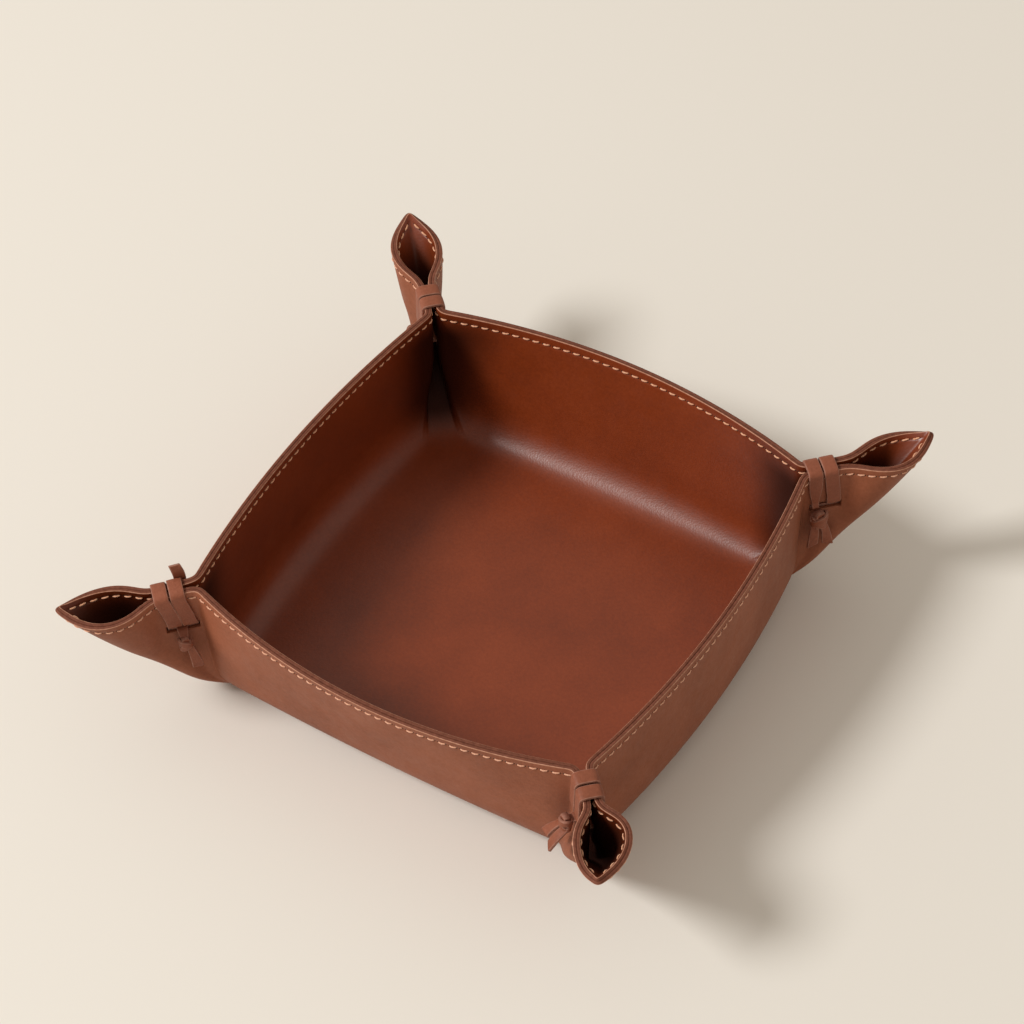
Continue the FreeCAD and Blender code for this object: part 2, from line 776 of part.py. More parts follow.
doc.recompute()
os.makedirs("parts", exist_ok=True)
for item in doc.Objects:
    if "Invalid" in item.State or "Error" in item.State:
        raise RuntimeError("%s did not build: %s" % (item.Name, item.State))
for item in finished:
    if item.Shape.isNull() or not item.Shape.isValid():
        raise RuntimeError("%s has no valid shape" % item.Label)
for item in finished:
    item.Shape.exportStep("parts/%s.step" % item.Label)
    box = item.Shape.BoundBox
    print(
        "%s solids %d volume %.1f box %.1f %.1f %.1f to %.1f %.1f %.1f"
        % (item.Label, len(item.Shape.Solids), item.Shape.Volume,
           box.XMin, box.YMin, box.ZMin, box.XMax, box.YMax, box.ZMax)
    )
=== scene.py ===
import math
import bpy
import numpy as np
from mathutils import Matrix, Vector


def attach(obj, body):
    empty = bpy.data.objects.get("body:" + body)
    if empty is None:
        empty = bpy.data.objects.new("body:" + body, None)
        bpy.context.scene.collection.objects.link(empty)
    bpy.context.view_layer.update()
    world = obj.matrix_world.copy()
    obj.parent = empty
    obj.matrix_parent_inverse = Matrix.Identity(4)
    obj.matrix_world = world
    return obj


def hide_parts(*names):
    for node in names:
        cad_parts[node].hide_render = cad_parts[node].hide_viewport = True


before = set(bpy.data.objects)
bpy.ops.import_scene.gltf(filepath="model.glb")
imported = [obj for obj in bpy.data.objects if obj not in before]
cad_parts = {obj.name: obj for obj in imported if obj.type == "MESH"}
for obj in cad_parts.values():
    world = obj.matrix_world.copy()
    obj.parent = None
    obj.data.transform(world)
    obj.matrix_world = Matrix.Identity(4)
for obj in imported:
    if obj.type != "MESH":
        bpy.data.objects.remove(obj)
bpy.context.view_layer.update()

RNG = np.random.default_rng(7)
MM = 0.001

# Sizes in millimetres, the same as in the model.
OUTER, LINING = 1.2, 1.2
FLOOR_HALF, TIE_INSET, TIE_HEIGHT = 72.0, 1.5, 49.5
TIE_HALF = FLOOR_HALF - TIE_INSET
RIM_SAG, SIDE_BULGE, FRONT_BULGE = 1.2, (7.0, 7.2), (0.0, 13.2)
FLOOR_MARGIN, FLOOR_ROUND, WALL_ROUND, RIM_TURN = 17.0, 14.0, 10.0, 3.0
EDGE_REACH, PINCH = 34.5, 1.7
CLOSE_ANGLE, BACK_RADIUS = math.radians(132.0), 9.0
NARROWING, OPENING_POWER, SPREAD_POWER, TIP_POINT = 0.4, 2.0, 2.4, 1.0
NECK_LENGTH, NECK_RELEASE, GRIP_DEPTH, GRIP_RELEASE = 14.0, 7.0, 20.0, 14.0
ROOT2 = math.sqrt(2)
TIE_REACH = TIE_HALF * ROOT2
CORNERS = ["back_right", "back_left", "front_left", "front_right"]
EARS = {
    "back_right": dict(length=44.5, tip_rise=5.3, rise=54.0, radius=7.5, mouth=-1.5, tip=1.6),
    "back_left": dict(length=45.3, tip_rise=5.5, rise=55.0, radius=8.0, mouth=0.0, tip=-1.0),
    "front_left": dict(length=45.3, tip_rise=-2.0, rise=45.0, radius=7.9, mouth=1.5, tip=-1.8),
    "front_right": dict(length=41.3, tip_rise=-3.0, rise=43.5, radius=8.4, mouth=0.9, tip=-5.5),
}
# Columns of poles from a wall's middle to its tie and from there to the ear's tip, and the rows of
# poles: below 0 from the flat floor to the bend, above 0 from the bend to the rim.
WALL_STEPS = [0.0, 0.25, 0.50, 0.72, 0.88, 1.0]
EAR_STEPS = [0.0, 0.09, 0.175, 0.26, 0.35, 0.45, 0.55, 0.65, 0.75, 0.85, 0.936, 1.0]
ROWS = [-1.0, -0.66, -0.33, 0.16, 0.32, 0.45, 0.57, 0.68, 0.79, 0.90, 1.0]
SEAM_INSET, PITCH, STITCH = 3.0, 3.7, 2.5
STRAND, STRAND_GAP, LACE_START, LEAN_SHARE, STRIP = 4.8, 0.5, 2.7, 0.5, 1.1
WIDTH = 2 * STRAND + STRAND_GAP
SLOT_DEPTH, SLOT_HEIGHT, SLOT_END_CLEARANCE, SLOT_REACH = 14.5, 3.0, 0.4, 6.8
LACE_CLEARANCE = 0.12
NECK_HALF_MAX = 7
NECK_COLUMNS = 12

# Each lace: which side its knot is on, how far out, how far down, shifted and how large it is,
# how far its turns lean at the rim, and how far its ends stand out in degrees.
KNOT_SIDE = [-1, 1, 1, -1]
KNOT_AWAY = 6.5
KNOT_SHIFT = {"back_right": -3.0, "back_left": 0.0, "front_left": 0.5, "front_right": 0.0}
KNOT_DEPTHS = {"back_right": 18.5, "back_left": 17.5, "front_left": 20.0, "front_right": 18.0}
KNOT_SCALE = {"back_right": 1.12, "back_left": 1.0, "front_left": 0.86, "front_right": 1.0}
LACE_TOP_SHIFT = {"back_right": -1.2, "back_left": 0.0, "front_left": 2.6, "front_right": 0.0}
END_LIFT = {"back_right": 12.0, "back_left": 12.0, "front_left": 12.0, "front_right": 40.0}
END_LENGTH, END_SPREAD, END_ROOT, END_TIP = 8.6, 9.0, 2.6, 3.8


# The folded sheet. The middle surface between the two layers is a cubic B-spline over a net of poles,
# closed round the tray: u counts its columns, and v goes from the flat floor, 0, to the rim, 1.
# Reach is how far out a point is along a corner's diagonal, and side is how far from the diagonal.
def ear_section(ear, flat):
    """Half of an ear's mouth: how far sideways and up its edge is after flat millimetres of leather."""
    radius, turn = ear["radius"], CLOSE_ANGLE
    if flat <= radius * turn:
        return radius * math.sin(flat / radius), radius * (1 - math.cos(flat / radius))
    side, rise = radius * math.sin(turn), radius * (1 - math.cos(turn))
    back, back_turn = BACK_RADIUS, turn - math.pi / 2
    straight = (side - back * (1 - math.cos(back_turn)) - PINCH) / math.cos(math.pi - turn)
    left = flat - radius * turn
    if left <= straight:
        return side + math.cos(turn) * left, rise + math.sin(turn) * left
    side += math.cos(turn) * straight
    rise += math.sin(turn) * straight
    left -= straight
    if left <= back * back_turn:
        angle = turn - left / back
        return (side - back * (math.sin(angle) - math.sin(turn)),
                rise + back * (math.cos(angle) - math.cos(turn)))
    return PINCH, rise + back * math.sin(back_turn) + left - back * back_turn


def ear_rim(ear, step):
    """Reach, side and height of the rim from the tie, step 0, to the tip of the ear, step 1."""
    rise = math.radians(ear["rise"])
    flat = (1 - step) * EDGE_REACH

    def raw(distance):
        side, up = ear_section(ear, distance)
        reach = TIE_REACH + ear["length"] - distance * math.cos(rise) - up * math.sin(rise)
        height = TIE_HEIGHT + ear["tip_rise"] + up * math.cos(rise) - distance * math.sin(rise)
        return reach, side, height

    here, root = raw(flat), raw(EDGE_REACH)
    reach = here[0] + (1 - step) * (TIE_REACH - root[0])
    height = here[2] + (1 - step) * (TIE_HEIGHT - root[2])
    return reach + (TIP_POINT if flat == 0 else 0), here[1], height


def eased(share):
    share = min(max(share, 0.0), 1.0)
    return share * share * (3 - 2 * share)


def grip(reach, depth):
    """How firmly the lace holds the two flaps together: 1 at the neck, 0 further out or down."""
    along = eased((reach - TIE_REACH - NECK_LENGTH) / NECK_RELEASE)
    return (1 - along) * (1 - eased((depth - GRIP_DEPTH) / GRIP_RELEASE))


NECK_TURN, FIRST_TURN = 0.7, 0.1


def octant(ear):
    """Columns of poles from a wall's middle to the corner's diagonal, before the walls bulge."""
    inner = FLOOR_HALF - FLOOR_MARGIN - FLOOR_ROUND
    outer = FLOOR_HALF - WALL_ROUND
    turn_in = PINCH * NECK_TURN
    spots = []
    for step in WALL_STEPS:
        rim = (TIE_HALF + turn_in, (TIE_HALF - turn_in - RIM_TURN) * step, TIE_HEIGHT)
        spots.append(((FLOOR_HALF - FLOOR_MARGIN, inner * step), (FLOOR_HALF, outer * step), rim, None))
    for step in EAR_STEPS:
        angle = math.pi / 4 * (FIRST_TURN + (1 - FIRST_TURN) * step)
        start = (inner + FLOOR_ROUND * math.cos(angle), inner + FLOOR_ROUND * math.sin(angle))
        bend = (outer + WALL_ROUND * math.cos(angle), outer + WALL_ROUND * math.sin(angle))
        reach, side, height = ear_rim(ear, step)
        spots.append((start, bend, ((reach + side) / ROOT2, (reach - side) / ROOT2, height), step))
    columns = []
    for start, bend, rim, step in spots:
        column = []
        for row in ROWS:
            if row < 0:
                point = [b + (f - b) * -row for f, b in zip(start, bend)] + [0.0]
            elif step is None:
                point = [b + (t - b) * row for b, t in zip(bend, rim)] + [rim[2] * row]
            else:
                b_reach, b_side = (bend[0] + bend[1]) / ROOT2, (bend[0] - bend[1]) / ROOT2
                r_reach, r_side = (rim[0] + rim[1]) / ROOT2, (rim[0] - rim[1]) / ROOT2
                reach = b_reach + (r_reach - b_reach) * row
                spread = (1 - row) ** SPREAD_POWER
                open_share = NARROWING + (1 - NARROWING) * row ** OPENING_POWER
                held = min(r_side, PINCH)
                side = held * (1 - spread) + (r_side - held) * open_share + b_side * spread
                side += (min(side, held) - side) * grip(reach, rim[2] * (1 - row))
                point = [(reach + side) / ROOT2, (reach - side) / ROOT2, rim[2] * row]
            column.append(point[:3])
        columns.append(column)
    return columns


def bulged(point, bulge_x, bulge_y):
    """The point moved out by the bulges of its walls and down by the sag of their rims."""
    x, y, height = point
    up = height / TIE_HEIGHT
    along_y = 1 - min(abs(y) / FLOOR_HALF, 1.0) ** 2
    along_x = 1 - min(abs(x) / FLOOR_HALF, 1.0) ** 2
    near_x, near_y = min(x / FLOOR_HALF, 1.0) ** 2, min(y / FLOOR_HALF, 1.0) ** 2
    moved_x = x + (bulge_x[0] + (bulge_x[1] - bulge_x[0]) * up) * along_y * near_x
    moved_y = y + (bulge_y[0] + (bulge_y[1] - bulge_y[0]) * up) * along_x * near_y
    if height > 0:
        sag = RIM_SAG * min(up, 1.0)
        height -= sag * along_y * (x > FLOOR_HALF / 2) + sag * along_x * (y > FLOOR_HALF / 2)
    return moved_x, moved_y, height


def middle_poles():
    """The whole net: for each corner an octant and its mirror image, turned into place."""
    columns = []
    for index, name in enumerate(CORNERS):
        ear = EARS[name]
        first = octant(ear)
        second = [[[p[1], p[0], p[2]] for p in column] for column in first[::-1][1:-1]]
        cosine, sine = [1, 0, -1, 0][index], [0, 1, 0, -1][index]
        bulges = (SIDE_BULGE, FRONT_BULGE) if index % 2 == 0 else (FRONT_BULGE, SIDE_BULGE)
        for column in first + second:
            moved = []
            for point in column:
                x, y, height = bulged(point, *bulges)
                reach, side = (x + y) / ROOT2, (x - y) / ROOT2
                far = max(0.0, (reach - TIE_REACH - NECK_LENGTH) / (ear["length"] - NECK_LENGTH))
                side -= ear["mouth"] * 4 * far * (1 - far) + ear["tip"] * far * far
                x, y = (reach + side) / ROOT2, (reach - side) / ROOT2
                moved.append((cosine * x - sine * y, sine * x + cosine * y, height + OUTER))
            columns.append(moved)
    return np.array(columns)


POLES = middle_poles()
COUNT, DEEP = POLES.shape[:2]
KNOTS = np.concatenate([np.zeros(3), np.linspace(0, 1, DEEP - 2), np.ones(3)])


def rows_basis(v):
    """The weight of each row of poles at v."""
    v = np.clip(np.asarray(v, float), 0.0, 1.0)
    span = np.clip(np.searchsorted(KNOTS, v, side="right") - 1, 3, DEEP - 1)
    out = np.zeros(v.shape + (DEEP,))
    parts = [np.ones_like(v)]
    left, right = [None], [None]
    for degree in range(1, 4):
        left.append(v - KNOTS[span + 1 - degree])
        right.append(KNOTS[span + degree] - v)
        saved = np.zeros_like(v)
        new = []
        for r in range(degree):
            term = parts[r] / (right[r + 1] + left[degree - r])
            new.append(saved + right[r + 1] * term)
            saved = left[degree - r] * term
        parts = new + [saved]
    for k in range(4):
        np.put_along_axis(out, (span - 3 + k)[..., None], parts[k][..., None], axis=-1)
    return out


def along_columns(poles, u):
    """The rows of poles at places u between the columns."""
    u = np.asarray(u, float)
    base = np.floor(u).astype(int)
    t = (u - base)[:, None, None]
    weights = [(1 - t) ** 3 / 6, (3 * t ** 3 - 6 * t * t + 4) / 6,
               (-3 * t ** 3 + 3 * t * t + 3 * t + 1) / 6, t ** 3 / 6]
    return sum(w * poles[(base - 1 + k) % COUNT] for k, w in enumerate(weights))


def evaluate(poles, u, v):
    """Points for every u and its own row of v, shape (len(u), rows, 3)."""
    return np.einsum("krm,kmc->krc", rows_basis(v), along_columns(poles, u))


def sheet_normals():
    """Unit normals at the poles, pointing out of the tray."""
    greville = np.array([KNOTS[i + 1:i + 4].mean() for i in range(DEEP)])
    u = np.arange(COUNT, dtype=float)
    v = np.tile(greville, (COUNT, 1))
    step = 1e-4
    du = evaluate(POLES, u + step, v) - evaluate(POLES, u - step, v)
    low, high = np.clip(v - step, 0, 1), np.clip(v + step, 0, 1)
    dv = evaluate(POLES, u, high) - evaluate(POLES, u, low)
    normal = np.cross(du, dv)
    normal /= np.linalg.norm(normal, axis=2)[..., None]
    return normal * (-1.0 if normal[0, 0, 2] > 0 else 1.0)


NORMALS = sheet_normals()
OUTSIDE = POLES + NORMALS * OUTER
INSIDE = POLES - NORMALS * LINING


DEPTH_SAMPLES = 260


def depth_to_row(poles, u):
    """For each u, the running distance below the rim at even steps of the row parameter."""
    v = np.linspace(1, 0, DEPTH_SAMPLES)
    points = evaluate(poles, u, np.tile(v, (len(u), 1)))
    steps = np.linalg.norm(np.diff(points, axis=1), axis=2)
    run = np.concatenate([np.zeros((len(u), 1)), np.cumsum(steps, axis=1)], axis=1)
    return v, run


def v_at(poles, u, depths):
    """The row parameters at these depths below the rim, for every u."""
    v, run = depth_to_row(poles, u)
    return np.array([np.interp(depths, run[k], v) for k in range(len(u))])


def new_mesh(name, verts, faces, material, indices=None, smooth=True):
    mesh = bpy.data.meshes.new(name)
    mesh.from_pydata([tuple(p) for p in np.asarray(verts) * MM], [], faces)
    mesh.update()
    obj = bpy.data.objects.new(name, mesh)
    bpy.context.scene.collection.objects.link(obj)
    for item in material if isinstance(material, (list, tuple)) else [material]:
        mesh.materials.append(item)
    if indices is not None:
        mesh.polygons.foreach_set("material_index", indices)
    mesh.polygons.foreach_set("use_smooth", [smooth] * len(mesh.polygons))
    return obj


# Materials.
def nodes_of(material):
    """The material's tree with only its output and a shader."""
    material.use_nodes = True
    tree = material.node_tree
    tree.nodes.clear()
    out = tree.nodes.new("ShaderNodeOutputMaterial")
    shader = tree.nodes.new("ShaderNodeBsdfPrincipled")
    tree.links.new(shader.outputs[0], out.inputs[0])
    return tree, shader


def node(tree, kind, **values):
    """A new node. Each value is a property of the node or the name of an input."""
    made = tree.nodes.new(kind)
    for key, value in values.items():
        if key in made.bl_rna.properties:
            setattr(made, key, value)
        else:
            made.inputs[key.replace("_", " ")].default_value = value
    return made


def ramp(tree, source, stops):
    """A colour ramp over source, with stops of (place, colour)."""
    made = tree.nodes.new("ShaderNodeValToRGB")
    elements = made.color_ramp.elements
    while len(elements) > 1:
        elements.remove(elements[-1])
    elements[0].position, elements[0].color = stops[0][0], (*stops[0][1], 1)
    for place, colour in stops[1:]:
        item = elements.new(place)
        item.color = (*colour, 1)
    tree.links.new(source, made.inputs[0])
    return made.outputs[0]


def map_range(made, between, to):
    for socket, value in zip(("From Min", "From Max", "To Min", "To Max"), (*between, *to)):
        made.inputs[socket].default_value = value


# Painted shade in the pinched corners, in metres: |x| + |y| from where to where the shade darkens the
# colour, and the heights between which it fades.
CORNER_SHADE_REACH, CORNER_SHADE_HEIGHT = (0.121, 0.138), (0.040, 0.054)
# The colour that the painted corner shade mixes into the leather's colour.
CORNER_SHADE_COLOUR = (0.035, 0.008, 0.004)


def corner_shade(tree, place):
    """How much painted shade lies in the pinched corners, 0 to 1."""
    parts = node(tree, "ShaderNodeSeparateXYZ")
    tree.links.new(place, parts.inputs[0])
    sides = []
    for axis in (0, 1):
        side = node(tree, "ShaderNodeMath", operation="ABSOLUTE")
        tree.links.new(parts.outputs[axis], side.inputs[0])
        sides.append(side.outputs[0])
    both = node(tree, "ShaderNodeMath", operation="ADD")
    tree.links.new(sides[0], both.inputs[0])
    tree.links.new(sides[1], both.inputs[1])
    out = []
    limits = ((both.outputs[0], CORNER_SHADE_REACH, (0.0, 1.0)),
              (parts.outputs[2], CORNER_SHADE_HEIGHT, (1.0, 0.0)))
    for source, between, to in limits:
        share = node(tree, "ShaderNodeMapRange", interpolation_type="SMOOTHSTEP")
        map_range(share, between, to)
        tree.links.new(source, share.inputs["Value"])
        out.append(share.outputs[0])
    shade = node(tree, "ShaderNodeMath", operation="MULTIPLY")
    tree.links.new(out[0], shade.inputs[0])
    tree.links.new(out[1], shade.inputs[1])
    return shade.outputs[0]


def leather(name, dark, mid, light, rough, grain, specular, corners=False):
    """Smooth dyed leather: cloudy dye, fine pores and faint creases. rough is its range of roughness, grain
    the strength of its relief, and corners paints shade into the pinched corners: a darker colour and less
    specular reflection there."""
    material = bpy.data.materials.new(name)
    tree, shader = nodes_of(material)
    place = tree.nodes.new("ShaderNodeTexCoord").outputs["Object"]
    cloud = node(tree, "ShaderNodeTexNoise", Scale=26.0, Detail=5.0, Roughness=0.62)
    fine = node(tree, "ShaderNodeTexNoise", Scale=900.0, Detail=3.0, Roughness=0.6)
    pores = node(tree, "ShaderNodeTexVoronoi", Scale=1500.0, feature="F1")
    creases = node(tree, "ShaderNodeTexNoise", Scale=160.0, Detail=6.0, Roughness=0.7)
    for item in (cloud, fine, pores, creases):
        tree.links.new(place, item.inputs["Vector"])
    blend = node(tree, "ShaderNodeMix", data_type="FLOAT")
    blend.inputs["Factor"].default_value = 0.35
    tree.links.new(cloud.outputs["Fac"], blend.inputs[2])
    tree.links.new(fine.outputs["Fac"], blend.inputs[3])
    colour = ramp(tree, blend.outputs[0], [(0.32, dark), (0.5, mid), (0.68, light)])
    shader.inputs["Specular IOR Level"].default_value = specular
    # Painted shade: the pinched corners get a darker colour and less specular reflection.
    if corners:
        shade = corner_shade(tree, place)
        tint = node(tree, "ShaderNodeMix", data_type="RGBA")
        tree.links.new(shade, tint.inputs["Factor"])
        tree.links.new(colour, tint.inputs[6])
        tint.inputs[7].default_value = (*CORNER_SHADE_COLOUR, 1)
        colour = tint.outputs[2]
        sheen = node(tree, "ShaderNodeMapRange")
        map_range(sheen, (0.0, 1.0), (specular, specular * 0.1))
        tree.links.new(shade, sheen.inputs["Value"])
        tree.links.new(sheen.outputs[0], shader.inputs["Specular IOR Level"])
    tree.links.new(colour, shader.inputs["Base Color"])
    gloss = node(tree, "ShaderNodeMapRange")
    map_range(gloss, (0.3, 0.7), rough)
    tree.links.new(creases.outputs["Fac"], gloss.inputs["Value"])
    tree.links.new(gloss.outputs[0], shader.inputs["Roughness"])
    first = node(tree, "ShaderNodeBump", Strength=grain, Distance=0.00012)
    second = node(tree, "ShaderNodeBump", Strength=grain * 0.8, Distance=0.0002)
    tree.links.new(pores.outputs["Distance"], first.inputs["Height"])
    tree.links.new(creases.outputs["Fac"], second.inputs["Height"])
    tree.links.new(first.outputs[0], second.inputs["Normal"])
    tree.links.new(second.outputs[0], shader.inputs["Normal"])
    return material


def grained(name, dark, light, noise, bump_strength, bump_distance, roughness):
    """One noise drives both the colour and the bump."""
    material = bpy.data.materials.new(name)
    tree, shader = nodes_of(material)
    place = tree.nodes.new("ShaderNodeTexCoord").outputs["Object"]
    scale, detail, rough = noise
    grain = node(tree, "ShaderNodeTexNoise", Scale=scale, Detail=detail, Roughness=rough)
    tree.links.new(place, grain.inputs["Vector"])
    colour = ramp(tree, grain.outputs["Fac"], [(0.35, dark), (0.65, light)])
    tree.links.new(colour, shader.inputs["Base Color"])
    bump = node(tree, "ShaderNodeBump", Strength=bump_strength, Distance=bump_distance)
    tree.links.new(grain.outputs["Fac"], bump.inputs["Height"])
    tree.links.new(bump.outputs[0], shader.inputs["Normal"])
    shader.inputs["Roughness"].default_value = roughness
    return material, shader


def raw_edge(name, dark, light):
    material, shader = grained(name, dark, light, (700.0, 4.0, 0.7), 0.5, 0.0002, 0.7)
    shader.inputs["Specular IOR Level"].default_value = 0.2
    return material


def thread(name, dark, light):
    material, shader = grained(name, dark, light, (2500.0, 2.0, 0.6), 0.4, 0.0001, 0.75)
    shader.inputs["Sheen Weight"].default_value = 0.3
    return material


# Each leather's three colours are the dark, middle and light dye.
OUTER_LEATHER = leather("outer_leather", (0.200, 0.060, 0.027), (0.262, 0.081, 0.038),
                        (0.32, 0.104, 0.052), rough=(0.46, 0.62), grain=0.3, specular=0.22)
# The lining carries the painted shade in its pinched corners.
LINING_LEATHER = leather("lining_leather", (0.150, 0.023, 0.004), (0.198, 0.031, 0.005),
                         (0.242, 0.041, 0.008), rough=(0.34, 0.44), grain=0.22, specular=0.58,
                         corners=True)
LACE_LEATHER = leather("lace_leather", (0.17, 0.049, 0.024), (0.235, 0.071, 0.036),
                       (0.30, 0.095, 0.051), rough=(0.46, 0.62), grain=0.5, specular=0.25)
OUTER_EDGE = raw_edge("outer_edge", (0.13, 0.040, 0.022), (0.20, 0.066, 0.038))
LINING_EDGE = raw_edge("lining_edge", (0.12, 0.035, 0.018), (0.18, 0.058, 0.032))
# Painted highlight: a lighter colour on the rounded outer corner of each cut edge.
EDGE_HIGHLIGHT = raw_edge("edge_highlight", (0.38, 0.17, 0.10), (0.54, 0.28, 0.19))
LACE_EDGE = raw_edge("lace_edge", (0.24, 0.10, 0.068), (0.36, 0.17, 0.12))
LIGHT_THREAD = thread("light_thread", (0.62, 0.27, 0.14), (0.84, 0.46, 0.28))
TAN_THREAD = thread("tan_thread", (0.58, 0.26, 0.15), (0.80, 0.44, 0.29))
# Painted shade: the near-black colour of the needle holes stands for the shade inside them.
HOLE = raw_edge("needle_hole", (0.030, 0.010, 0.006), (0.05, 0.018, 0.011))


# Panels.
PER_COLUMN = 10
U = np.arange(COUNT * PER_COLUMN) / PER_COLUMN
# Depths of the face's rows near the rim. Further down, even rows go to the end of the sheet.
NEAR_RIM = np.concatenate([np.arange(0.8, 7.0, 0.4), np.arange(7.5, 12.0, 1.0)])
FACE_ROWS, HIDDEN_ROWS = 43, 19
FLOOR_RINGS = (0.94, 0.86, 0.76, 0.64, 0.5, 0.35, 0.2)
# Across the cut edge: depth below the rim, and the share of the layer's thickness.
EDGE_PROFILE = [(0.50, 1.0), (0.30, 0.985), (0.15, 0.93), (0.05, 0.83), (0.0, 0.68), (0.0, 0.5),
                (0.0, 0.32), (0.05, 0.16), (0.14, 0.06), (0.30, 0.01)]
LAYER_GAP, FLOOR_DEPTH = 0.01, 90.0
SEAM_DENT, SEAM_DENT_WIDTH = 0.16, 0.55
FACE_SLOT, EDGE_SLOT, HIGHLIGHT_SLOT = 0, 1, 2


def panel(name, skin, face_material, edge_material):
    """One layer of leather, from the middle surface out to the skin, with its cut edge and floor."""
    around = len(U)
    v, run = depth_to_row(POLES, U)
    total = run[:, -1:]

    def down_from(depth, count):
        return depth + np.linspace(0, 1, count + 1)[None, 1:] * (total - depth)

    # Up the face, round the cut edge, and down the side that lies on the other panel.
    face_depths = np.hstack([np.tile(NEAR_RIM, (around, 1)), down_from(NEAR_RIM[-1], FACE_ROWS)])
    edge_depths, edge_shares = np.array(EDGE_PROFILE).T
    hidden_depths = np.hstack([np.full((around, 1), NEAR_RIM[0]), down_from(NEAR_RIM[0], HIDDEN_ROWS)])
    depths = np.hstack([face_depths[:, ::-1], np.tile(edge_depths, (around, 1)), hidden_depths])
    n_face, n_hidden = face_depths.shape[1], hidden_depths.shape[1]
    share = np.concatenate([np.ones(n_face), edge_shares, np.full(n_hidden, LAYER_GAP)])
    rows = depths.shape[1]
    row_at = np.array([np.interp(depths[i], run[i], v) for i in range(around)])
    base = evaluate(POLES, U, row_at)
    far = evaluate(skin, U, row_at)
    rim_line = base[:, n_face + 4]
    along = np.concatenate([[0], np.cumsum(np.linalg.norm(np.diff(rim_line, axis=0), axis=1))])
    # The row of stitches draws the face down a little.
    dent = SEAM_DENT * np.exp(-((depths - SEAM_INSET) / SEAM_DENT_WIDTH) ** 2)
    dent *= (share > 0.99)[None, :]
    factor = share[None, :, None] - (dent / OUTER)[..., None]
    points = base + (far - base) * factor
    faces, index = [], []
    slots = [FACE_SLOT] * rows
    slots[n_face + 1:n_face + len(EDGE_PROFILE) - 1] = [EDGE_SLOT] * (len(EDGE_PROFILE) - 2)
    # The two rows round the cut edge's outer corner take the painted highlight.
    slots[n_face + 1:n_face + 3] = [HIGHLIGHT_SLOT] * 2
    flip = skin is INSIDE
    for j in range(rows - 1):
        for i in range(around):
            a, b = i * rows + j, ((i + 1) % around) * rows + j
            quad = (a, b, b + 1, a + 1)
            faces.append(quad[::-1] if flip else quad)
            index.append(slots[j])
    verts = list(points.reshape(-1, 3))
    # The flat floor: rings from the last row to the middle.
    for row, up in ((0, not flip), (rows - 1, flip)):
        ring = [i * rows + row for i in range(around)]
        rim = points[:, row]
        for share_in in FLOOR_RINGS:
            start = len(verts)
            verts += [np.array([p[0] * share_in, p[1] * share_in, p[2]]) for p in rim]
            new = list(range(start, start + around))
            for i in range(around):
                quad = (ring[i], ring[(i + 1) % around], new[(i + 1) % around], new[i])
                faces.append(quad[::-1] if up else quad)
                index.append(FACE_SLOT)
            ring = new
        faces.append(tuple(ring[::-1]) if up else tuple(ring))
        index.append(FACE_SLOT)
    obj = new_mesh(name, verts, faces, [face_material, edge_material, EDGE_HIGHLIGHT], index)
    # Distance along the rim and depth below it, with the floor's middle beyond the last row.
    uv = obj.data.uv_layers.new(name="seam")
    run_of = np.zeros(len(verts))
    depth_of = np.full(len(verts), FLOOR_DEPTH)
    run_of[:around * rows] = np.repeat(along, rows)
    depth_of[:around * rows] = depths.reshape(-1)
    loops = np.empty(len(obj.data.loops), int)
    obj.data.loops.foreach_get("vertex_index", loops)
    pairs = np.stack([run_of[loops], depth_of[loops]], axis=1) * MM
    uv.data.foreach_set("uv", pairs.reshape(-1))
    return obj


outer_piece = panel("outer_leather_panel", OUTSIDE, OUTER_LEATHER, OUTER_EDGE)
lining_piece = panel("lining_leather_panel", INSIDE, LINING_LEATHER, LINING_EDGE)


# Corner frames. Each lace is laid out in a frame of its own: x outwards along the ear from where the
# lace starts, y across to the left and z up from the rim.
def neck_line(index):
    """Where the lace starts: its reach, the rim's height and how far the turns lean."""
    first = COUNT * (index + 0.5) / 4
    u = first + np.arange(-NECK_COLUMNS * 20, NECK_COLUMNS * 20 + 1) / 20
    points = evaluate(POLES, u, np.ones((len(u), 1)))[:, 0]
    reach = (np.abs(points[:, 0]) + np.abs(points[:, 1])) / ROOT2
    start = TIE_REACH + LACE_START
    heights = [points[np.argmin(np.abs(reach - wanted)), 2] for wanted in (start, start + WIDTH)]
    rise = (heights[1] - heights[0]) * LEAN_SHARE
    return start, max(heights[0], heights[1] - rise), math.atan2(rise, WIDTH)


def corner_matrix(index):
    start, height, lean = neck_line(index)
    turn = Matrix.Rotation(math.radians(45 + 90 * index), 4, "Z")
    tilt = Matrix.Rotation(-lean, 4, "Y")
    return turn @ Matrix.Translation((start, 0, height)) @ tilt


FRAMES = [np.array(corner_matrix(i)) for i in range(4)]


def to_world(index, points):
    points = np.asarray(points, float)
    frame_here = FRAMES[index]
    return points @ frame_here[:3, :3].T + frame_here[:3, 3]


